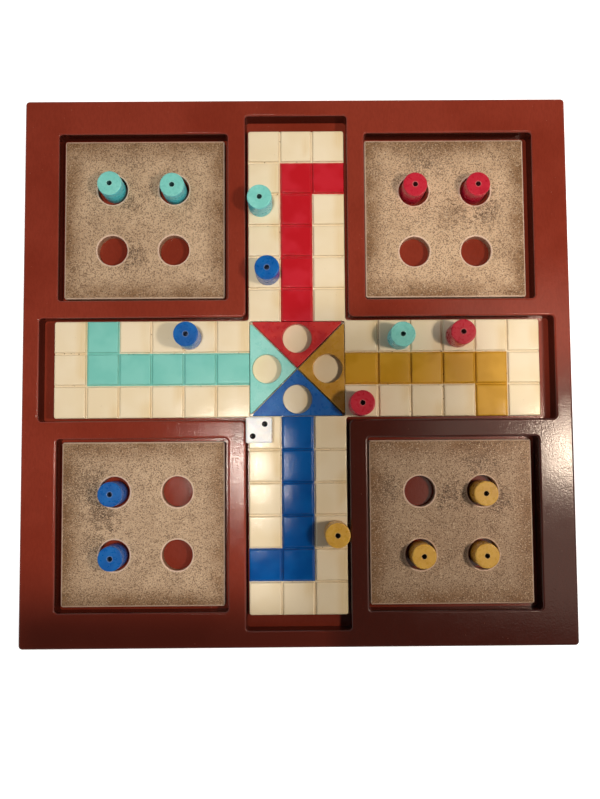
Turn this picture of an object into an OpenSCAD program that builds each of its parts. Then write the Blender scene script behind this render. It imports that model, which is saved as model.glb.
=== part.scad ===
// Square race-game board: a lacquered tray, a painted cross-shaped track, four loose home plates,
// sixteen pawns and a die. Millimetres, +Z up, origin on the table under the middle of the tray.
// +Y is the top edge of the board as it is looked down on, +X its right edge.

/* [Track] */
// side of one track cell, groove to groove
cell = 20.7; // [20:0.1:21.6]
// thickness of the cross-shaped track
track_h = 9.5; // [8.5:0.5:10.5]
// width at the bottom of a groove between two cells
groove_w = 1.4; // [1.0:0.1:1.8]
// rounding of every cell's upper edges
cell_round = 0.9; // [0.5:0.1:1.2]
// depth of the recess that holds the four goal triangles
goal_recess = 5.0; // [4.4:0.1:5.6]

/* [Tray] */
// thickness of the whole tray
tray_h = 18; // [17:1:22]
// depth of all its recesses
recess_depth = 12; // [11:0.5:13]
// rim left outside each end of the cross
end_rim = 10.65; // [9:0.05:14]
// rim left outside each square recess
side_rim = 22.3; // [20:0.1:25]
// strip between the cross and a square recess
strip_w = 11.4; // [9:0.2:14]
// bare floor beyond each end of the track
end_gap = 9.1; // [6:0.1:10]
// gap along each side of the track
side_gap = 1.8; // [1.2:0.1:2.4]
// rounding of the tray's outer upper edge
tray_round = 1.5; // [1.5:0.5:3.5]
// rounding of the edges of its recesses
recess_round = 1.3; // [0.8:0.1:1.5]

/* [Home plates] */
// thickness of a plate
plate_h = 6.5; // [5:0.5:7.5]
// mean gap between a plate and its recess
plate_gap = 2.3; // [1.9:0.1:2.8]
// diameter of the holes that hold the pawns
hole_d = 19.5; // [19.3:0.1:21]
// distance between two holes
hole_pitch = 40; // [36:1:44]

/* [Goals] */
// distance of each goal's hole from the middle of the board
goal_reach = 19.5; // [19:0.1:19.8]
// diameter of a goal's hole
goal_hole_d = 18.6; // [17:0.1:18.8]
// width of the dark line between two goals
goal_split = 0.8; // [0.5:0.1:1.2]

/* [Pawns and die] */
// diameter of a pawn
pawn_d = 15.5; // [14:0.1:15.6]
// height of a pawn
pawn_h = 18; // [15:0.5:22]
// diameter of the blind hole in its top
pawn_bore_d = 3; // [2:0.1:4]
// side of the die
die_w = 16; // [14:0.5:16]
// diameter of a pip
pip_d = 3.4; // [2.4:0.1:3.6]

/* [Hidden] */
$fn = 48;
past = 0.6; // how far a cutter runs past what it cuts

track_half = 1.5 * cell;
track_end = 7.5 * cell;
cross_half = track_half + side_gap;
cross_end = track_end + end_gap;
tray_half = cross_end + end_rim;
recess_in = cross_half + strip_w;
recess_out = tray_half - side_rim;
recess_mid = (recess_in + recess_out) / 2;
plate_w = recess_out - recess_in - 2 * plate_gap;

floor_z = tray_h - recess_depth;
track_z = floor_z + track_h;
plate_z = floor_z + plate_h;
goal_floor_z = track_z - goal_recess;

tray_corner = 2.5; // plan radius of the tray's corners
foot_round = 1; // rounding of the tray's lower edge
recess_corner = 2; // plan radius inside a recess
strip_corner = 3.5; // plan radius where two strips meet beside the cross
track_corner = 1.5; // plan radius at the ends of the track
track_inner_corner = 2; // plan radius where two arms of the track meet
track_joint = 0.5; // how far the goal recess stays inside the arms' line
plate_corner = 1.5;
plate_round = 0.8;
hole_round = 0.6;
goal_sink = 0.2; // how far its top stays below the cells round it
goal_h = goal_recess - goal_sink;
goal_play = 0.3; // gap between a goal and the wall of its recess
goal_blunt = 1.2; // how much of each sharp tip is cut off
goal_round = 0.45;
goal_ease = 0.15; // its edges are this much flatter than a quarter circle
goal_rim_round = 0.5; // rounding of the cells' edges round the goals
goal_rim_corner = 1.1; // plan radius inside the goals' recess
goal_hole_round = 0.8;
pawn_round = 0.8;
pawn_foot = 0.4;
pawn_bore_depth = 8;
pawn_bore_round = 0.3;
die_round = 1.3;
pip_step = 3.7; // from the middle of a face to a corner pip, along each side
pip_ball = 2.4; // radius of the ball that hollows a pip
die_lean = [-3.3, 1.9]; // from the middle of the cell that it lies on

wood = [0.42, 0.16, 0.10];
cream = [0.89, 0.82, 0.68];
bronze = [0.60, 0.50, 0.38];
red = [0.69, 0.08, 0.13];
teal = [0.42, 0.75, 0.69];
gold = [0.70, 0.50, 0.14];
blue = [0.03, 0.30, 0.60];
white = [0.93, 0.92, 0.90];

// Where each plate has come to lie in its recess, and how far its four holes are off its middle.
plate_at_bl = [[-recess_mid + 0.1, recess_mid - 0.4], [-1.0, -0.2]];
plate_at_br = [[recess_mid - 1.8, recess_mid - 0.6], [0.1, -1.8]];
plate_at_fl = [[-recess_mid, -recess_mid + 0.4], [1.6, 0.1]];
plate_at_fr = [[recess_mid - 1.3, -recess_mid + 0.5], [0.4, -0.8]];

// Outlines. A list of points runs with the material on its left, and each point has a plan radius.

function at(v, i) = v[(i + len(v)) % len(v)];
function wrap(a) = a > 180 ? a - 360 : a <= -180 ? a + 360 : a;
function along(a) = [cos(a), sin(a)];
function heading(pts, i) = let(d = at(pts, i + 1) - at(pts, i)) atan2(d[1], d[0]);
function turn(pts, i) = wrap(heading(pts, i) - heading(pts, i - 1));
function trim(pts, rad, i) = at(rad, i) * tan(abs(turn(pts, i)) / 2);
function centre(pts, rad, i) = at(pts, i) - trim(pts, rad, i) * along(heading(pts, i - 1))
    + sign(turn(pts, i)) * at(rad, i) * along(heading(pts, i - 1) + 90);
function length(pts, i) = norm(at(pts, i + 1) - at(pts, i));
function backwards(v) = [for (i = [len(v) - 1:-1:0]) v[i]];
function same(pts, r) = [for (p = pts) r];

function rectangle(w, d) = [[w, -d] / 2, [w, d] / 2, [-w, d] / 2, [-w, -d] / 2];
function cross(half, reach) = [
    [half, -reach], [half, -half], [reach, -half], [reach, half],
    [half, half], [half, reach], [-half, reach], [-half, half],
    [-reach, half], [-reach, -half], [-half, -half], [-half, -reach]
];
function cross_radii(outer, inner) = [for (i = [0:11]) i % 3 == 1 ? inner : outer];

// The sliver between an outward corner's point and its arc, a little deeper than the point.
module corner_sliver(pts, rad, i) {
    p = at(pts, i);
    c = centre(pts, rad, i);
    t = trim(pts, rad, i);
    difference() {
        polygon([
            p + (p - c) * 0.2,
            p + t * along(heading(pts, i)),
            c,
            p - t * along(heading(pts, i - 1))
        ]);
        translate(c) circle(r = at(rad, i));
    }
}

// An inward corner is filled as far as its arc's centre, for the arc to be cut from it.
function filled(pts, rad) = [
    for (i = [0:len(pts) - 1])
        let(p = at(pts, i), t = trim(pts, rad, i))
            each turn(pts, i) > 0 ? [p] : [
                p - t * along(heading(pts, i - 1)),
                centre(pts, rad, i),
                p + t * along(heading(pts, i))
            ]
];

// The flat shape inside an anticlockwise outline, its corners true arcs.
module rounded(pts, rad) {
    difference() {
        polygon(filled(pts, rad));
        for (i = [0:len(pts) - 1])
            if (turn(pts, i) > 0) corner_sliver(pts, rad, i);
            else translate(centre(pts, rad, i)) circle(r = at(rad, i));
    }
}

// Section of the cutter that rounds an edge: x runs into the material, y up, the edge is at 0, 0.
// ease makes the arc flatter than a quarter circle.
module edge_section(e, ease = 0) {
    c = e * (1 + ease);
    difference() {
        translate([-past, -e]) square([e + past, e + past]);
        translate([c, -c]) circle(r = norm([c, c - e]));
    }
}

// Eases the upper edges of a flat outline with sharp corners: each cut runs past both its ends.
module ease_edges(pts, e, z) {
    for (i = [0:len(pts) - 1])
        translate(concat(at(pts, i) - past * along(heading(pts, i)), z)) rotate([0, 0, heading(pts, i)])
            rotate([90, 0, 90]) linear_extrude(length(pts, i) + 2 * past) edge_section(e, goal_ease);
}

// Rounds the upper edge of the material along a whole outline at height z.
module round_rim(pts, rad, e, z) {
    for (i = [0:len(pts) - 1]) {
        a = heading(pts, i);
        before = heading(pts, i - 1);
        start = trim(pts, rad, i);
        inside = turn(pts, i) > 0;
        r = at(rad, i);
        translate(concat(at(pts, i) + start * along(a), z)) rotate([0, 0, a])
            rotate([90, 0, 90])
                linear_extrude(length(pts, i) - start - trim(pts, rad, i + 1)) edge_section(e);
        translate(concat(centre(pts, rad, i), z))
            rotate([0, 0, inside ? before - 90 : before + 90 - abs(turn(pts, i))])
                rotate_extrude(angle = abs(turn(pts, i)))
                    translate([r, 0]) mirror([inside ? 1 : 0, 0]) edge_section(e);
    }
}

// Rounds the upper edge of a round hole of radius r at height z.
module round_hole_rim(r, e, z) {
    translate([0, 0, z]) rotate_extrude() translate([r, 0]) edge_section(e);
}

// Parts

// One routed recess: straight walls to the floor and a softly rounded edge.
module recess(pts, rad) {
    translate([0, 0, floor_z]) linear_extrude(recess_depth + past) rounded(pts, rad);
    round_rim(backwards(pts), backwards(rad), recess_round, tray_h);
}

module tray() {
    outline = rectangle(2 * tray_half, 2 * tray_half);
    corners = same(outline, tray_corner);
    square_recess = rectangle(recess_out - recess_in, recess_out - recess_in);
    color(wood) difference() {
        linear_extrude(tray_h) rounded(outline, corners);
        round_rim(outline, corners, tray_round, tray_h);
        mirror([0, 0, 1]) round_rim(outline, corners, foot_round, 0);
        recess(cross(cross_half, cross_end), cross_radii(recess_corner, strip_corner));
        for (x = [-1, 1], y = [-1, 1])
            translate([x, y, 0] * recess_mid) recess(square_recess, same(square_recess, recess_corner));
    }
}

// Section of the groove between two cells: round bottom, and both cells' edges rounded.
module groove_section() {
    half = groove_w / 2 + cell_round;
    difference() {
        translate([-half, -cell_round]) square([2 * half, cell_round + past]);
        for (x = [-1, 1]) translate([x * half, -cell_round]) circle(r = cell_round);
    }
    translate([0, -cell_round]) circle(r = groove_w / 2);
}

// A groove along X, centred on the origin.
module groove(run) {
    translate([-run / 2, 0, track_z]) rotate([90, 0, 90]) linear_extrude(run) groove_section();
}

// One arm's grooves: five across it, and two along the whole track that it shares with the arm opposite.
module grooves() {
    for (side = [0, 90]) rotate([0, 0, side]) {
        for (y = [-1, 1]) translate([0, y * cell / 2, 0]) groove(2 * (track_end + past));
        for (i = [1:5], end = [-1, 1])
            translate([end * (track_half + i * cell), 0, 0]) rotate([0, 0, 90]) groove(2 * (track_half + past));
    }
}

module track_cross() {
    outline = cross(track_half, track_end);
    corners = cross_radii(track_corner, track_inner_corner);
    goal_square = rectangle(2 * (track_half - track_joint), 2 * (track_half - track_joint));
    color(cream) difference() {
        translate([0, 0, floor_z]) linear_extrude(track_h) rounded(outline, corners);
        round_rim(outline, corners, cell_round, track_z);
        grooves();
        translate([0, 0, goal_floor_z]) linear_extrude(goal_recess + past)
            rounded(goal_square, same(goal_square, goal_rim_corner));
        round_rim(backwards(goal_square), same(goal_square, goal_rim_corner), goal_rim_round, track_z);
    }
}

module plate(place) {
    outline = rectangle(plate_w, plate_w);
    color(bronze) translate([place[0][0], place[0][1], 0]) difference() {
        translate([0, 0, floor_z]) linear_extrude(plate_h) rounded(outline, same(outline, plate_corner));
        round_rim(outline, same(outline, plate_corner), plate_round, plate_z);
        for (x = [-1, 1], y = [-1, 1])
            translate([place[1][0] + x * hole_pitch / 2, place[1][1] + y * hole_pitch / 2, 0]) {
                translate([0, 0, floor_z - past]) cylinder(d = hole_d, h = plate_h + 2 * past);
                round_hole_rim(hole_d / 2, hole_round, plate_z);
            }
    }
}

// A goal triangle, its base towards +Y before it is turned, with a hole down to the cream floor.
module goal(angle, paint) {
    base = track_half - track_joint - goal_play;
    split = goal_split / sqrt(2);
    tip = base - goal_blunt - split;
    outline = [[0, split], [tip, tip + split], [tip, base], [-tip, base], [-tip, tip + split]];
    color(paint) rotate([0, 0, angle]) difference() {
        translate([0, 0, goal_floor_z]) linear_extrude(goal_h) polygon(outline);
        ease_edges(outline, goal_round, goal_floor_z + goal_h);
        translate([0, goal_reach, 0]) {
            translate([0, 0, goal_floor_z - past]) cylinder(d = goal_hole_d, h = goal_h + 2 * past);
            round_hole_rim(goal_hole_d / 2, goal_hole_round, goal_floor_z + goal_h);
        }
    }
}

// A plain turned pawn with softened edges and a small blind hole in its top.
module pawn(place, z, paint) {
    r = pawn_d / 2;
    color(paint) translate(concat(place, z)) difference() {
        rotate_extrude() difference() {
            square([r, pawn_h]);
            translate([r, pawn_h]) mirror([1, 0]) edge_section(pawn_round);
            translate([r, 0]) mirror([1, 0]) mirror([0, 1]) edge_section(pawn_foot);
        }
        translate([0, 0, pawn_h - pawn_bore_depth]) cylinder(d = pawn_bore_d, h = pawn_bore_depth + past);
        round_hole_rim(pawn_bore_d / 2, pawn_bore_round, pawn_h);
    }
}

// A pawn standing in hole x, y of a plate (each -1 or 1), off the hole's middle by lean.
module home_pawn(plate_at, x, y, lean, paint) {
    pawn(plate_at[0] + plate_at[1] + [x, y] * hole_pitch / 2 + lean, floor_z, paint);
}

// A pawn standing on a track cell counted from the middle of the board, off its middle by lean.
module track_pawn(column, row, lean, paint) {
    pawn([column, row] * cell + lean, track_z, paint);
}

function pips(n) = [
    if (n % 2 == 1) [0, 0],
    if (n > 1) each [[1, 1], [-1, -1]],
    if (n > 3) each [[1, -1], [-1, 1]],
    if (n > 5) each [[1, 0], [-1, 0]]
];

// Spots of one face, hollowed into the face that looks along +Z.
module pip_hollows(n) {
    sink = sqrt(pow(pip_ball, 2) - pow(pip_d / 2, 2));
    for (p = pips(n))
        translate([p[0] * pip_step, p[1] * pip_step, die_w / 2 + sink]) sphere(r = pip_ball);
}

module die() {
    side = rectangle(die_w, die_w);
    color(white) translate(concat([-1, -2] * cell + die_lean, track_z + die_w / 2)) difference() {
        intersection_for (turned = [[0, 0, 0], [90, 0, 0], [0, 90, 0]])
            rotate(turned) translate([0, 0, -die_w / 2]) linear_extrude(die_w)
                rounded(side, same(side, die_round));
        pip_hollows(2);
        rotate([180, 0, 0]) pip_hollows(5);
        rotate([90, 0, 0]) pip_hollows(1);
        rotate([-90, 0, 0]) pip_hollows(6);
        rotate([0, 90, 0]) pip_hollows(3);
        rotate([0, -90, 0]) pip_hollows(4);
    }
}

// Every piece by name, where the players left it

module plate_back_left() { plate(plate_at_bl); }
module plate_back_right() { plate(plate_at_br); }
module plate_front_left() { plate(plate_at_fl); }
module plate_front_right() { plate(plate_at_fr); }

module goal_red() { goal(0, red); }
module goal_gold() { goal(-90, gold); }
module goal_blue() { goal(180, blue); }
module goal_teal() { goal(90, teal); }

module pawn_teal_1() { home_pawn(plate_at_bl, -1, 1, [0.4, 0.8], teal); }
module pawn_teal_2() { home_pawn(plate_at_bl, 1, 1, [0.2, -0.4], teal); }
module pawn_teal_3() { track_pawn(-1, 5, [-2.3, 2.7], teal); }
module pawn_teal_4() { track_pawn(3, 1, [3.5, -1.4], teal); }
module pawn_red_1() { home_pawn(plate_at_br, -1, 1, [-0.6, 0.7], red); }
module pawn_red_2() { home_pawn(plate_at_br, 1, 1, [-0.4, 0.7], red); }
module pawn_red_3() { track_pawn(5, 1, [-0.4, -0.2], red); }
module pawn_red_4() { track_pawn(2, -1, [-1.3, -2.4], red); }
module pawn_blue_1() { home_pawn(plate_at_fl, -1, 1, [-0.4, -0.8], blue); }
module pawn_blue_2() { home_pawn(plate_at_fl, -1, -1, [0, -0.5], blue); }
module pawn_blue_3() { track_pawn(-1, 3, [2.2, -0.6], blue); }
module pawn_blue_4() { track_pawn(-3, 1, [-6.8, -0.5], blue); }
module pawn_gold_1() { home_pawn(plate_at_fr, 1, 1, [-0.3, -1.1], gold); }
module pawn_gold_2() { home_pawn(plate_at_fr, -1, -1, [0.4, 0.3], gold); }
module pawn_gold_3() { home_pawn(plate_at_fr, 1, -1, [-0.5, 0.4], gold); }
module pawn_gold_4() { track_pawn(1, -5, [3.3, -0.6], gold); }

tray();
track_cross();
plate_back_left();
plate_back_right();
plate_front_left();
plate_front_right();
goal_red();
goal_gold();
goal_blue();
goal_teal();
pawn_teal_1();
pawn_teal_2();
pawn_teal_3();
pawn_teal_4();
pawn_red_1();
pawn_red_2();
pawn_red_3();
pawn_red_4();
pawn_blue_1();
pawn_blue_2();
pawn_blue_3();
pawn_blue_4();
pawn_gold_1();
pawn_gold_2();
pawn_gold_3();
pawn_gold_4();
die();
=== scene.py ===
# %% [markdown]
# # A painted ludo board
#
# The board is a lacquered tray with a cross-shaped track, four loose home plates, four goal
# triangles, sixteen pawns and a die. Their shapes come finished from the CAD model, so this
# lesson is about the other half of the work: giving each piece the paint, wear and shine of the
# real one, and lighting it. Lengths are in metres, and +Z is up.

# %% Load the board
import bpy
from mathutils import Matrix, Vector

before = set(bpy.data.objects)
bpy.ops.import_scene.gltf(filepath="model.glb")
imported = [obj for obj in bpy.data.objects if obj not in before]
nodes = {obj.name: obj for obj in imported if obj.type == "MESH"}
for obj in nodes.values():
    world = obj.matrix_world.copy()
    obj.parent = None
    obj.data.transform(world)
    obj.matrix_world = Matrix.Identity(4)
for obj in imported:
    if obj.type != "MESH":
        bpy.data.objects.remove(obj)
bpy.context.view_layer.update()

# %% [markdown]
# ## The camera
#
# The board was photographed from half a metre above it, looking almost straight down. The far
# edge looks a little shorter than the near one, so the camera leans a few degrees. It could be
# placed by eye, but the board's four corners and the tops of the pawns fix it: position, turn and
# lens here make those points fall where they do in the photograph, which is 600 by 799 pixels.

# %% Place the camera
CAMERA_PLACE = (-0.00065, -0.04888, 0.50265)
CAMERA_TURN = (0.0595, -0.0042, -0.0073)  # radians
FOCAL_PIXELS = 765.3
PHOTO_HEIGHT = 799
SENSOR = 36.0

camera = bpy.data.objects.new("camera", bpy.data.cameras.new("camera"))
bpy.context.scene.collection.objects.link(camera)
camera.location = CAMERA_PLACE
camera.rotation_euler = CAMERA_TURN
camera.data.sensor_width = SENSOR
camera.data.lens = FOCAL_PIXELS / PHOTO_HEIGHT * SENSOR
bpy.context.scene.camera = camera
print("lens in mm:", round(camera.data.lens, 2))

# %% [markdown]
# ## Lamps
#
# Two lamps light the real board. One hangs high up, a little to the left: its reflection is the
# soft shine on the strip left of the lower arm. The other stands close on the right: it draws the
# short shadows to the left of the pawns and the glare on the right rim. Area lamps do both, since
# their size sets how soft a shadow's edge is.
#
# A lamp's mirror image on gloss can be far stronger than its light on paint, and it would veil the
# colours around it. So each lamp is split in two: a weak part that is mirrored, and one that only
# lights. Lamps in one place hide each other from mirrored rays, so the mirrored part, called the
# glint, stands in front and the other a few centimetres behind it. The side lamp's wide shade
# comes last: it shows in the gloss as a faint glow but throws no light of its own.

# %% Hang the lamps
CEILING = (-0.19, -0.12, 2.4)
SIDE = (0.40, -0.058, 0.63)
CEILING_SIZE, SIDE_SIZE, SHADE_SIZE = 0.14, 0.07, 0.5


def area_lamp(name, place, back, size, watts, colour, mirrored=True, lights=True):
    """A square lamp that looks at the board's middle from back metres behind a place.

    mirrored says whether glossy surfaces show it, lights whether it lights the paint under them.
    """
    data = bpy.data.lights.new(name, "AREA")
    data.size, data.energy, data.color = size, watts, colour
    lamp = bpy.data.objects.new(name, data)
    bpy.context.scene.collection.objects.link(lamp)
    away = Vector(place)
    lamp.location = away * (1 + back / away.length)
    lamp.rotation_euler = away.to_track_quat("Z", "Y").to_euler()
    lamp.visible_glossy, lamp.visible_diffuse = mirrored, lights


area_lamp("ceiling_glint", CEILING, 0.0, CEILING_SIZE, 4.2, (1.0, 0.92, 0.8))
area_lamp("ceiling_lamp", CEILING, 0.02, CEILING_SIZE, 27.5, (1.0, 0.98, 0.95), mirrored=False)
area_lamp("side_glint", SIDE, 0.0, SIDE_SIZE, 0.9, (1.0, 0.8, 0.62))
area_lamp("side_lamp", SIDE, 0.02, SIDE_SIZE, 1.9, (1.0, 0.91, 0.8), mirrored=False)
area_lamp("side_glow", SIDE, 0.04, SHADE_SIZE, 0.9, (1.0, 0.8, 0.66), lights=False)

# %% [markdown]
# ## Cards
#
# The lower right of the board and its front edge are out of the ceiling lamp's light. A dark card
# between lamp and board does that in a studio. The lamp is small and far away, so a card at half a
# metre throws a shade about a quarter larger than itself, with an edge only a few centimetres
# soft. Three cards together make the shade's shape. The camera doesn't see them.

# %% Hang the cards
CARD_GREY = 0.02


def card_paper():
    material = bpy.data.materials.new("black_card")
    material.use_nodes = True
    shader = material.node_tree.nodes["Principled BSDF"]
    shader.inputs["Base Color"].default_value = (CARD_GREY, CARD_GREY, CARD_GREY, 1)
    return material


def dark_card(name, left, right, front, back, height):
    """A card that keeps the ceiling lamp's light off part of the board, and isn't seen itself."""
    middle = ((left + right) / 2, (front + back) / 2, height)
    bpy.ops.mesh.primitive_plane_add(size=1, location=middle)
    card = bpy.context.active_object
    card.name = name
    card.scale = (right - left, back - front, 1)
    card.visible_camera = False
    card.data.materials.append(black)


black = card_paper()
dark_card("lens_card", -0.044, 0.055, -0.168, 0.002, 0.51)
dark_card("corner_card", 0.055, 0.113, -0.168, -0.053, 0.51)
dark_card("front_card", -0.182, 0.118, -0.175, -0.146, 0.40)

# %% [markdown]
# ## Light from all round
#
# The rest of the light comes from the room. Flat glossy tops that are seen from above mirror what
# is overhead, and the colours stay deep only if that is dark. So the world is bright low down,
# which lights the tops from the side, dimmer in a belt above it, and dark overhead. The camera
# itself sees plain white in every direction, which is the background of the views from the side.

# %% Shade the world
# how high a direction points, from 0 level to 1 upright, and the world's strength there
ROOM = [(0.0, 1.0), (0.2, 1.0), (0.32, 0.2), (0.66, 0.2), (0.82, 0.06), (1.0, 0.04)]


def shade_world(steps):
    """A world that lights by the steps, and that the camera sees as plain white."""
    world = bpy.data.worlds.new("room")
    world.use_nodes = True
    bpy.context.scene.world = world
    tree = world.node_tree
    place = tree.nodes.new("ShaderNodeTexCoord")
    apart = tree.nodes.new("ShaderNodeSeparateXYZ")
    ramp = tree.nodes.new("ShaderNodeValToRGB")
    stops = ramp.color_ramp.elements
    while len(stops) < len(steps):
        stops.new(0.5)
    for stop, (height, strength) in zip(stops, steps):
        stop.position, stop.color = height, (strength, strength, strength, 1)
    path = tree.nodes.new("ShaderNodeLightPath")
    seen = tree.nodes.new("ShaderNodeMix")
    seen.data_type = "RGBA"
    seen.inputs[7].default_value = (1, 1, 1, 1)
    tree.links.new(place.outputs["Generated"], apart.inputs[0])
    tree.links.new(apart.outputs["Z"], ramp.inputs[0])
    tree.links.new(path.outputs["Is Camera Ray"], seen.inputs[0])
    tree.links.new(ramp.outputs[0], seen.inputs[6])
    tree.links.new(seen.outputs[2], tree.nodes["Background"].inputs["Color"])


shade_world(ROOM)
bpy.context.scene.view_settings.view_transform = "Standard"
print("world:", bpy.context.scene.world.name)

# %% [markdown]
# ## A painter's toolbox
#
# Every finish below is procedural: patterns are computed from a point's place on the piece, in
# millimetres, so they have a real scale and need no image. The nodes could be written out one by
# one for each material, but most finishes need the same few steps, so a small class holds them:
# noise of a given grain size, a soft threshold, patches (which are both together), a mix of two
# colours and a bump. Each noise takes a seed of its own, which moves it to another place, so that
# no two patterns fall on top of each other.

# %% The toolbox
MM = 1000.0
SOCKET = bpy.types.NodeSocket
FAR = 100.0  # farther than anything on a plate or pawn, in millimetres


def paint(code):
    """The linear colour of a #RRGGBB code."""
    parts = [int(code[i:i + 2], 16) / 255 for i in (1, 3, 5)]
    return tuple(((c + 0.055) / 1.055) ** 2.4 if c > 0.04045 else c / 12.92 for c in parts) + (1.0,)


class Finish:
    """A material, with short ways to build its pattern."""

    def __init__(self, name, **sockets):
        self.material = bpy.data.materials.new(name)
        self.material.use_nodes = True
        self.tree = self.material.node_tree
        self.shader = self.tree.nodes["Principled BSDF"]
        for socket, value in sockets.items():
            self.shader.inputs[socket.replace("_", " ")].default_value = value
        place = self.tree.nodes.new("ShaderNodeTexCoord").outputs["Object"]
        self.mm = self.add("Mapping", {"Vector": place, "Scale": (MM, MM, MM)}).outputs[0]
        self.x, self.y, self.z = self.add("SeparateXYZ", {"Vector": self.mm}).outputs

    def add(self, kind, inputs, **settings):
        node = self.tree.nodes.new("ShaderNode" + kind)
        for name, value in settings.items():
            setattr(node, name, value)
        for key, value in inputs.items():
            if isinstance(value, SOCKET):
                self.tree.links.new(value, node.inputs[key])
            else:
                node.inputs[key].default_value = value
        return node

    def math(self, operation, *values):
        return self.add("Math", dict(enumerate(values)), operation=operation).outputs[0]

    def times(self, first, *others):
        for other in others:
            first = self.math("MULTIPLY", first, other)
        return first

    def noise(self, grain, seed=0, detail=2.0, stretch=(1, 1, 1), twist=0.0):
        """Smooth noise around 0.5 whose blotches are about grain millimetres wide."""
        shift = (37.0 * seed, 19.0 * seed, 7.0 * seed)
        moved = {"Vector": self.mm, "Location": shift, "Scale": stretch}
        spot = self.add("Mapping", moved).outputs[0]
        inputs = {"Vector": spot, "Scale": 1 / grain, "Detail": detail, "Distortion": twist}
        return self.add("TexNoise", inputs).outputs[0]

    def band(self, value, low, high, at_low=0.0, at_high=1.0):
        """value between low and high, spread smoothly over at_low to at_high and held beyond."""
        inputs = {"Value": value, "From Min": low, "From Max": high,
                  "To Min": at_low, "To Max": at_high}
        return self.add("MapRange", inputs, interpolation_type="SMOOTHSTEP").outputs[0]

    def patches(self, grain, seed, detail, low=0.35, high=0.65, at_low=0.0, at_high=1.0):
        """Soft patches of noise; the closer low and high are, the harder their edges."""
        return self.band(self.noise(grain, seed, detail), low, high, at_low, at_high)

    def mix(self, factor, first, second):
        """first where factor is 0, second where it is 1; either may be a colour code."""
        first, second = (paint(c) if isinstance(c, str) else c for c in (first, second))
        return self.add("Mix", {0: factor, 6: first, 7: second}, data_type="RGBA").outputs[2]

    def steep(self):
        """1 on walls, 0 on faces that look up, by the normal of the shape itself."""
        normal = self.add("NewGeometry", {}).outputs["Normal"]
        up = self.add("SeparateXYZ", {"Vector": normal}).outputs["Z"]
        return self.band(up, 0.15, 0.75, 1.0, 0.0)

    def away(self, x, y):
        """Millimetres from the upright line through x, y."""
        dx, dy = self.math("SUBTRACT", self.x, x), self.math("SUBTRACT", self.y, y)
        return self.math("SQRT", self.math("ADD", self.times(dx, dx), self.times(dy, dy)))

    def bump(self, height, depth, under=None):
        """A surface raised by height times depth millimetres, on top of an earlier bump."""
        inputs = {"Height": height, "Distance": depth / MM, "Strength": 1.0}
        if under is not None:
            inputs["Normal"] = under
        return self.add("Bump", inputs).outputs[0]

    def finish(self, colour, normal, roughness):
        for socket, value in (("Base Color", colour), ("Normal", normal), ("Roughness", roughness)):
            self.tree.links.new(value, self.shader.inputs[socket])
        return self.material


def coat(material, *names):
    """Puts a finish on CAD nodes, in place of their plain one."""
    for name in names:
        for used in nodes[name].material_slots:
            used.material = material
    print(material.name, "on", ", ".join(names))


print("tools:", [name for name in vars(Finish) if not name.startswith("_")])

# %% [markdown]
# ## Red-brown lacquer
#
# The tray is sprayed with a red-brown lacquer. It is smooth but not flat: sprayed lacquer dries
# with a fine orange-peel texture that breaks up reflections, the tone drifts slowly from place to
# place, and there are a few specks of dust and tiny pits. A noise of about a millimetre is the
# orange peel, a much larger one the tone.
#
# Towards the front edge and the right the lacquer is painted far darker, more so on the rim than
# on the floors of the recesses. This is painted shade, added to the real shade of the cards. Two
# soft ramps across the board lead it over. The steep walls of the recesses are painted deeper
# still, a painted shade of the narrow gaps.

# %% Lacquer the tray
RECESSED = (168.0, 171.0)  # inside this distance from the middle, walls belong to recesses
FLOOR_Z, RIM_Z = 6, 17


def painted_shade_front_right(f):
    """Painted shade on the lacquer: 0 at the back left, most on the rim at the front right."""
    front = f.band(f.y, -172, -105, 0.63, 0.0)
    right = f.times(f.band(f.x, -20, 35, 0.0, 0.88), f.band(f.y, -36, 25, 1.0, 0.0))
    return f.times(f.math("MAXIMUM", front, right), f.band(f.z, FLOOR_Z, RIM_Z, 0.35, 1.0))


def recess_wall_shade(f):
    """1 on the recess walls, which get painted shade; 0 on level faces and on the tray's outer
    sides.
    """
    reach = f.math("MAXIMUM", f.math("ABSOLUTE", f.x), f.math("ABSOLUTE", f.y))
    return f.times(f.steep(), f.band(reach, *RECESSED, 1.0, 0.0))


def lacquer():
    f = Finish("lacquered_wood", IOR=1.5)
    tone = f.mix(f.patches(60, 1, 3, 0.38, 0.62), "#7B2C1C", "#853323")
    # painted shade: the lacquer darkens towards the front edge and the right
    tone = f.mix(painted_shade_front_right(f), tone, "#32150F")
    grain = f.band(f.noise(0.9, 2, 2, stretch=(1, 0.3, 1)), 0.4, 0.65, 0.0, 0.14)
    tone = f.mix(grain, tone, "#571B10")
    dust = f.patches(0.8, 3, 1, 0.8, 0.83)
    tone = f.mix(dust, tone, "#A87460")
    # painted shade on the walls of the recesses
    tone = f.mix(f.times(recess_wall_shade(f), 0.85), tone, "#27100C")
    peel = f.bump(f.noise(0.95, 4, 1), 0.042)
    pits = f.bump(f.noise(0.6, 5, 1), 0.012, peel)
    return f.finish(tone, pits, f.patches(9, 6, 2, 0.3, 0.7, 0.11, 0.15))


coat(lacquer(), "tray")

# %% [markdown]
# ## The painted track
#
# The track is one board, cut by grooves into square cells and sprayed cream; five cells of each
# arm and one beside them are then painted in a player's colour. The real painter masks the cells
# off. Here the mask is arithmetic: a point's place divided by the cell's side and rounded gives
# its column and row, and those decide the colour. The four arms are the same arm turned, so one
# rule serves all four.

# %% Mask the painted cells
CELL = 20.7
MIDDLE = 1.47  # half the side of the sunken middle, in cells
LAST_ROW = 6.0  # the last painted row, counted from the board's middle
ARMS = {"red": (0, 1), "teal": (-1, 0), "blue": (0, -1), "gold": (1, 0)}
CELL_PAINT = {"red": ("#B51822", "#BE2430"), "teal": ("#76C0B4", "#7FC6BA"),
              "blue": ("#00478C", "#04529A"), "gold": ("#B9881F", "#C5932B")}


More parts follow.
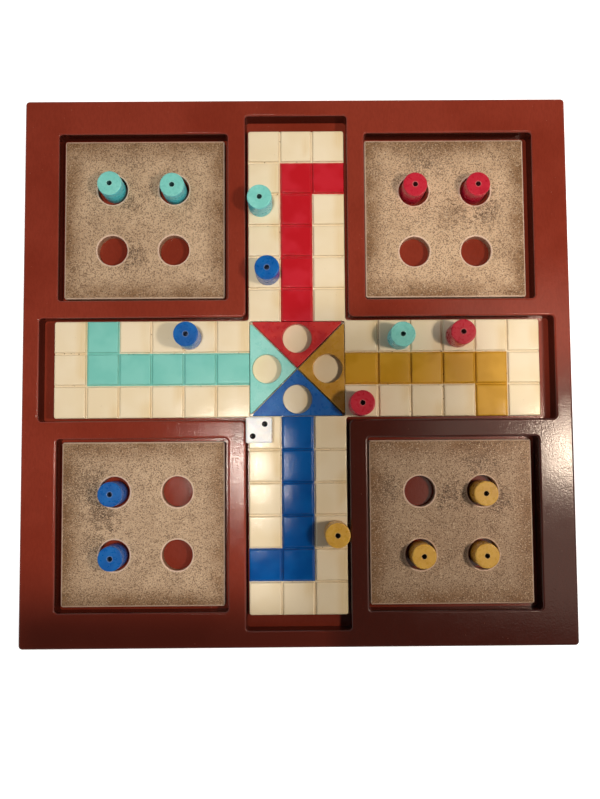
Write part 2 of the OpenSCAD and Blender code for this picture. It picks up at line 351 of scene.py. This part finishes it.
def arm_mask(f, u, v, direction):
    """1 on the painted cells of one arm: its middle column, and one cell beside the last row.

    u and v are a point's place in cells.
    """
    dx, dy = map(float, direction)
    out = f.math("ADD", f.times(u, dx), f.times(v, dy))
    side = f.math("ADD", f.times(u, dy), f.times(v, -dx))
    column, row = f.math("ROUND", side), f.math("ROUND", out)
    run = f.times(f.math("COMPARE", column, 0.0, 0.1), f.math("GREATER_THAN", out, MIDDLE),
                  f.math("LESS_THAN", row, LAST_ROW + 0.5))
    foot = f.times(f.math("COMPARE", column, 1.0, 0.1), f.math("COMPARE", row, LAST_ROW, 0.1))
    return f.math("MAXIMUM", run, foot)


print("painted arms:", ", ".join(ARMS))

# %% [markdown]
# The cream is a little warmer and faintly streaked towards the right of most cells. The streaks are
# the paint's, and the warmth is partly a painted shading of each cell's curved top. Thin brown
# lines are painted shade on the groove walls, now fainter and now stronger, and here and there a
# crumb of stain sits in a groove. Both follow the height: the lines lie in the steep part of the
# grooves, a millimetre below the top, and the crumbs at their bottom. Each cell's paint is drawn up
# slightly at its edges, so its shine curves like that of a pillow.

# %% Paint the track
TRACK_TOP = 15.5
SHADE_LINE_DEPTH = 0.95
GROOVE_BOTTOM = (13.2, 13.6)  # below this height lies the floor under the goals


def cream(f, in_u):
    """The cream of the bare cells; in_u is a point's place across its cell, from -0.5 to 0.5."""
    base = f.mix(f.patches(25, 8, 2), "#E8D8BA", "#E4D2B0")
    streaks = f.band(f.noise(0.9, 9, 2, stretch=(1, 0.06, 1)), 0.35, 0.65, 0.7, 1.0)
    some_cells = f.patches(24, 15, 0, 0.42, 0.6, 0.1, 0.55)
    # partly painted shading: the right of each cell is warmer, as its curved top turns; the streaks
    # are the paint's
    warm_painted_shading = f.times(f.band(in_u, 0.08, 0.34), streaks, some_cells)
    base = f.mix(warm_painted_shading, base, "#DBBF8C")
    specks = f.patches(0.7, 12, 1, 0.8, 0.82)
    return f.mix(specks, base, "#7B6A52")


def groove_shade_and_crumbs(f, colour):
    """The thin lines of painted shade on the groove walls, and the crumbs of stain in the grooves.
    """
    off = f.math("ABSOLUTE", f.math("SUBTRACT", f.z, TRACK_TOP - SHADE_LINE_DEPTH))
    # painted shade: thin brown lines on the steep walls of the grooves
    groove_shade = f.times(f.band(off, 0.1, 0.4, 1.0, 0.0), f.patches(5, 11, 2, at_low=0.2, at_high=0.6))
    colour = f.mix(groove_shade, colour, "#86663E")
    low = f.band(f.z, TRACK_TOP - 1.2, TRACK_TOP - 0.7, 1.0, 0.0)
    low = f.times(low, f.band(f.z, *GROOVE_BOTTOM))
    crumbs = f.times(low, f.patches(1.6, 16, 1, 0.73, 0.76, 0.0, 0.85))
    return f.mix(crumbs, colour, "#3C2415")


def track_paint():
    f = Finish("cream_paint", IOR=1.5)
    wobble = f.times(f.math("SUBTRACT", f.noise(3.0, 7, 2), 0.5), 0.3)
    u = f.math("DIVIDE", f.math("ADD", f.x, wobble), CELL)
    v = f.math("DIVIDE", f.math("ADD", f.y, wobble), CELL)
    in_u = f.math("SUBTRACT", u, f.math("ROUND", u))
    in_v = f.math("SUBTRACT", v, f.math("ROUND", v))
    colour = cream(f, in_u)
    for seed, (name, direction) in enumerate(ARMS.items(), start=10):
        coloured = f.mix(f.patches(16, seed, 2, 0.38, 0.62), *CELL_PAINT[name])
        colour = f.mix(arm_mask(f, u, v, direction), colour, coloured)
    colour = groove_shade_and_crumbs(f, colour)
    peel = f.bump(f.noise(0.95, 13, 1), 0.041)
    crown = f.math("ADD", f.math("POWER", in_u, 2.0), f.math("POWER", in_v, 2.0))
    pillow = f.bump(crown, -0.5, peel)
    return f.finish(colour, pillow, f.patches(7, 14, 2, 0.3, 0.7, 0.11, 0.16))


coat(track_paint(), "track_cross")

# %% [markdown]
# ## Speckled bronze plates
#
# The home plates have a bronze paint with a dark brown speckle, which gathers into denser clouds
# along the plate's sides and beside its holes and thins out elsewhere, like toner on a bad copy.
# The four plates differ: each has its own clouds, and the two at the front are greyer. So each
# plate is written down as a small plan, with distances from a hole's middle and from the plate's
# sides to find its edges by.

# %% Plan the speckle
PLATE_HALF = 51.925
HOLE_R = 9.75
HOLE_STEP = 20.0
# for each plate: its middle, the middle of its holes, how grey it is (0 to 1), and its clouds as
# x and y from the middle, radius and strength
PLATES = {
    "plate_back_left": ((-98.375, 98.075), (-99.375, 97.875), 0.15, [
        (-8, 46, 24, 0.7), (-10, 13, 13, 0.8), (-8, -24, 15, 0.9),
        (-46, -38, 22, 0.6), (27, 10, 10, 0.6)]),
    "plate_back_right": ((96.675, 97.875), (96.775, 96.075), 0.0, [
        (-8, 46, 30, 0.9), (4, 2, 16, 0.8), (28, 4, 18, 0.9),
        (-14, 10, 14, 0.5), (-40, 10, 20, 0.4), (34, -22, 16, 0.5)]),
    "plate_front_left": ((-98.475, -98.075), (-96.875, -97.975), 0.45, [
        (-42, 26, 28, 1.0), (-26, 6, 18, 1.0), (-30, -14, 16, 0.7),
        (-4, 22, 12, 0.5), (-36, 46, 20, 0.7)]),
    "plate_front_right": ((97.175, -97.975), (97.575, -98.775), 1.0, [
        (18, 44, 24, 1.0), (-46, 22, 22, 1.0), (0, 17, 15, 1.0),
        (32, 14, 16, 0.9), (12, -2, 14, 0.5), (-34, -22, 20, 0.4)]),
}


def nearest_hole(f, holes):
    """Millimetres from the middle of the nearest of a plate's four holes."""
    near = FAR
    for sx in (-HOLE_STEP, HOLE_STEP):
        for sy in (-HOLE_STEP, HOLE_STEP):
            near = f.math("MINIMUM", near, f.away(holes[0] + sx, holes[1] + sy))
    return near


def from_middle(f, middle):
    """How far a point is from a plate's middle towards its nearest side."""
    dx = f.math("ABSOLUTE", f.math("SUBTRACT", f.x, middle[0]))
    dy = f.math("ABSOLUTE", f.math("SUBTRACT", f.y, middle[1]))
    return f.math("MAXIMUM", dx, dy)


print("clouds of speckle:", {name: len(plan[3]) for name, plan in PLATES.items()})

# %% [markdown]
# Fine noise cut off at a threshold leaves small dark dots, and a map of density moves the
# threshold up and down, so dots are many in the clouds and few between them. Close to the holes
# they run together into short crooked marks, which are a twisted noise. The paint is browner
# towards the plate's sides, as if burnt. The upper edges of the plate and of its holes are pale,
# partly rubbed paint and partly a painted highlight of the rounded edges, and pale specks are a
# painted glint of the metallic paint. Fine noise also raises the dots a little and dulls them.

# %% Speckle the plates
RIM_HEIGHT = (11.2, 12.0)  # above this height the plate's edges are pale: rubbed, and with a painted highlight


def speckle_density(f, middle, across, clouds, seed):
    """0 where the paint is nearly bare, 1 where the speckle is densest."""
    density = f.patches(11, seed, 2, 0.35, 0.68, 0.12, 0.5)
    edge = f.band(across, PLATE_HALF - 14, PLATE_HALF - 1, 0.0, 0.5)
    edge = f.times(edge, f.patches(18, seed + 1, 1, at_low=0.4, at_high=1.2))
    density = f.math("MAXIMUM", density, edge)
    rag = f.times(f.math("SUBTRACT", f.noise(4, seed + 2, 3), 0.5), 30.0)
    for x, y, radius, strength in clouds:
        ragged = f.math("ADD", f.away(middle[0] + x, middle[1] + y), rag)
        cloud = f.band(ragged, 0.15 * radius, radius, strength, 0.0)
        density = f.math("MAXIMUM", density, cloud)
    return density


def bronze_base(f, grey, across, density, seed):
    """The paint under the speckle."""
    base = f.mix(f.patches(30, seed + 3, 3), "#C6A787", "#D4B594")
    base = f.mix(0.5 * grey, base, "#776858")
    burn = f.band(across, PLATE_HALF - 16, PLATE_HALF - 1)
    burn = f.times(burn, f.patches(14, seed + 7, 2, 0.3, 0.65, 0.45, 0.95))
    base = f.mix(burn, base, "#83603F")
    return f.mix(f.times(density, 0.15), base, "#94734F")


def crooked_marks(f, hole, density, seed):
    """1 in the short marks beside the holes."""
    crooked = f.math("ADD", f.noise(0.95, seed + 5, 1, twist=1.5), f.times(density, 0.06))
    beside = f.times(f.band(hole, HOLE_R + 6, HOLE_R + 18, 1.0, 0.0), f.band(density, 0.4, 0.8))
    return f.times(f.band(crooked, 0.58, 0.63), beside)


def rubbed_and_lit_rim(f, hole, across):
    """1 on the upper edges of the plate and of its holes: rubbed paint and a painted highlight."""
    sides = f.band(across, PLATE_HALF - 1.1, PLATE_HALF - 0.6)
    holes = f.band(hole, HOLE_R + 0.7, HOLE_R + 1.2, 1.0, 0.0)
    return f.times(f.math("MAXIMUM", sides, holes), f.band(f.z, *RIM_HEIGHT))


def bronze(name, seed):
    middle, holes, grey, clouds = PLATES[name]
    f = Finish("bronze_speckle_" + name.removeprefix("plate_"), Metallic=0.15, IOR=1.5)
    hole, across = nearest_hole(f, holes), from_middle(f, middle)
    density = speckle_density(f, middle, across, clouds, seed)
    fine = f.noise(0.66, seed + 4, 2)
    dots = f.band(f.math("ADD", fine, f.times(density, 0.1)), 0.555, 0.605, 0.0, 0.7)
    marks = f.times(crooked_marks(f, hole, density, seed), 0.85)
    # painted glint: pale specks for the sparkle of the metallic paint
    painted_glints = f.patches(0.8, seed + 6, 2, 0.6, 0.66, 0.0, 0.5)
    colour = bronze_base(f, grey, across, density, seed)
    # the pale rim is rubbed paint and a painted highlight of the rounded edges
    for factor, code in ((dots, "#563A26"), (marks, "#38241A"), (painted_glints, "#E4D0B4"),
                         (f.times(rubbed_and_lit_rim(f, hole, across), 0.6), "#EACDB8")):
        colour = f.mix(factor, colour, code)
    return f.finish(colour, f.bump(fine, 0.04), f.band(fine, 0.3, 0.7, 0.32, 0.5))


for index, plate in enumerate(PLATES):
    coat(bronze(plate, 20 + 10 * index), plate)

# %% [markdown]
# ## Goals
#
# The goal triangles are painted in the four colours. The paint is thick and slightly uneven, so
# the shine of the lamp breaks into small glints.

# %% Paint the goals
GOAL_PAINT = {"red": ("#AC1C24", "#C0302C"), "gold": ("#B07E28", "#BE8E38"),
              "blue": ("#12529A", "#1D60A4"), "teal": ("#82C8BD", "#92D0C6")}


def goal_paint(name, seed):
    deep, light = GOAL_PAINT[name]
    f = Finish(f"goal_{name}_paint", IOR=1.5)
    colour = f.mix(f.patches(9, seed, 2), deep, light)
    colour = f.mix(f.patches(0.6, seed + 1, 2, 0.45, 0.7, 0.0, 0.2), colour, deep)
    peel = f.bump(f.noise(0.9, seed + 2, 1), 0.03)
    return f.finish(colour, peel, f.patches(3, seed + 3, 2, 0.3, 0.7, 0.25, 0.36))


for index, name in enumerate(GOAL_PAINT):
    coat(goal_paint(name, 70 + 4 * index), "goal_" + name)

# %% [markdown]
# ## Pawns
#
# The pawns are turned and dipped in paint, a little brighter than the cells. The small hole in the
# top is painted dark, a painted shade of its inside, with a pale rubbed ring round it. The sides
# are painted a more saturated tone than the top, a painted light for the lamp that falls on them,
# with faint upright streaks where the paint ran. The hole is found by distance from each pawn's own
# axis, and the axis is measured on the pawn, so that the paint follows it wherever it stands.

# %% Paint the pawns
# the top's deeper and lighter tone, and the side's, a painted light for the lamp on the sides
PAWN_PAINT = {"teal": ("#76C4BA", "#80CCC2", "#56D6E6"), "red": ("#AE1A2E", "#B82436", "#C01C3C"),
              "blue": ("#005098", "#065CA4", "#0664BC"), "gold": ("#CA9A3C", "#D4A646", "#C48E34")}
BORE_R = 1.5
RING_FACTOR, BORE_SHADE_FACTOR = 0.12, 0.75


def axis(name):
    """Where a pawn's axis stands, in millimetres."""
    points = [nodes[name].matrix_world @ v.co for v in nodes[name].data.vertices]
    return [MM * (min(p[i] for p in points) + max(p[i] for p in points)) / 2 for i in (0, 1)]


def pawn_paint(name, pawns, seed):
    deep, light, side = PAWN_PAINT[name]
    f = Finish(f"pawn_{name}_paint", IOR=1.5)
    colour = f.mix(f.patches(7, seed, 2), deep, light)
    runs = f.band(f.noise(0.5, seed + 1, 2, stretch=(1, 1, 0.2)), 0.4, 0.7, 1.0, 0.85)
    # painted light: the steep sides take a brighter, more saturated tone
    colour = f.mix(f.times(f.steep(), runs), colour, side)
    centre = FAR
    for pawn in pawns:
        centre = f.math("MINIMUM", centre, f.away(*axis(pawn)))
    ring = f.times(f.band(centre, BORE_R + 0.3, BORE_R + 0.7, 1.0, 0.0), RING_FACTOR)
    colour = f.mix(ring, colour, "#E6E2D2")
    # painted shade: the inside of the top hole is painted dark
    colour = f.mix(f.band(centre, BORE_R, BORE_R + 0.2, BORE_SHADE_FACTOR, 0.0), colour, "#1D1410")
    peel = f.bump(f.noise(0.9, seed + 2, 1), 0.003)
    return f.finish(colour, peel, f.patches(2.5, seed + 3, 2, 0.3, 0.7, 0.26, 0.31))


for index, name in enumerate(PAWN_PAINT):
    pawns = [f"pawn_{name}_{i}" for i in range(1, 5)]
    coat(pawn_paint(name, pawns, 90 + 4 * index), *pawns)

# %% [markdown]
# ## The die
#
# The die is white plastic with black paint in its hollowed pips. The hollows are already in the
# mesh, so only their colour is missing. A point belongs to a pip if it lies close to the pip's
# middle on its face; the middles follow from the usual layout, with opposite faces adding to 7.

# %% Paint the die
DIE_MIDDLE = (-24.0, -39.5, 23.5)
DIE_HALF = 8.0
PIP_STEP = 3.7
PIP_R = 1.72


def pip_layout(count):
    """The pips of one face, as steps from its middle."""
    spots = [(0, 0)] if count % 2 else []
    if count > 1:
        spots += [(1, 1), (-1, -1)]
    if count > 3:
        spots += [(1, -1), (-1, 1)]
    if count == 6:
        spots += [(1, 0), (-1, 0)]
    return spots


# how the CAD turns the layout of each face onto the cube: a pip at a, b goes to this place
FACES = {
    2: lambda a, b, h: (a, b, h),
    5: lambda a, b, h: (a, -b, -h),
    1: lambda a, b, h: (a, -h, b),
    6: lambda a, b, h: (a, h, -b),
    3: lambda a, b, h: (h, b, -a),
    4: lambda a, b, h: (-h, b, a),
}


def die_paint():
    f = Finish("die_white", IOR=1.49, Subsurface_Weight=0.15, Subsurface_Scale=0.001)
    white = f.mix(f.patches(6, 120, 2), "#ECEBE7", "#E2E4E6")
    inside = 0.0
    for count, place in FACES.items():
        for a, b in pip_layout(count):
            pip = place(a * PIP_STEP, b * PIP_STEP, DIE_HALF)
            spot = [m + c for m, c in zip(DIE_MIDDLE, pip)]
            away = f.add("VectorMath", {0: f.mm, 1: spot}, operation="DISTANCE").outputs["Value"]
            inside = f.math("MAXIMUM", inside, f.band(away, PIP_R, PIP_R + 0.1, 1.0, 0.0))
    colour = f.mix(inside, white, "#121214")
    scuffs = f.bump(f.noise(2.0, 121, 3), 0.01)
    return f.finish(colour, scuffs, f.patches(3, 122, 2, 0.3, 0.7, 0.18, 0.32))


coat(die_paint(), "die")

# %% [markdown]
# ## The table
#
# The board lies on a plain white table. The photograph shows it pure white, so the camera sees
# the table's own glow on top of its lit colour, and the board's shadow still shows in it. The glow
# grows farther out, where the lamps no longer reach.

# %% Lay the table
TABLE_HALF = 4.0
TABLE_DROP = 0.0002  # so that the table and the tray's underside don't share a plane
GLOW = (0.72, 1.0)
GLOW_REACH = (350.0, 1200.0)  # from here to there the glow grows, in mm from the middle


def white_table():
    f = Finish("white_table", Roughness=0.6)
    f.shader.inputs["Base Color"].default_value = (0.82, 0.82, 0.82, 1)
    f.shader.inputs["Emission Color"].default_value = (1, 1, 1, 1)
    path = f.add("LightPath", {}).outputs
    mirrored = f.math("MAXIMUM", path["Is Glossy Ray"], path["Is Transmission Ray"])
    seen = f.math("MAXIMUM", path["Is Camera Ray"], mirrored)
    glow = f.times(seen, f.band(f.away(0.0, 0.0), *GLOW_REACH, *GLOW))
    f.tree.links.new(glow, f.shader.inputs["Emission Strength"])
    bpy.ops.mesh.primitive_plane_add(size=2 * TABLE_HALF, location=(0, 0, -TABLE_DROP))
    table = bpy.context.active_object
    table.name = "table"
    table.data.materials.append(f.material)
    return table


print("table:", [round(side, 2) for side in white_table().dimensions])

# %% [markdown]
# ## Size
#
# Paint adds no size: the box round the shown pieces stays the one that came from the CAD
# model.
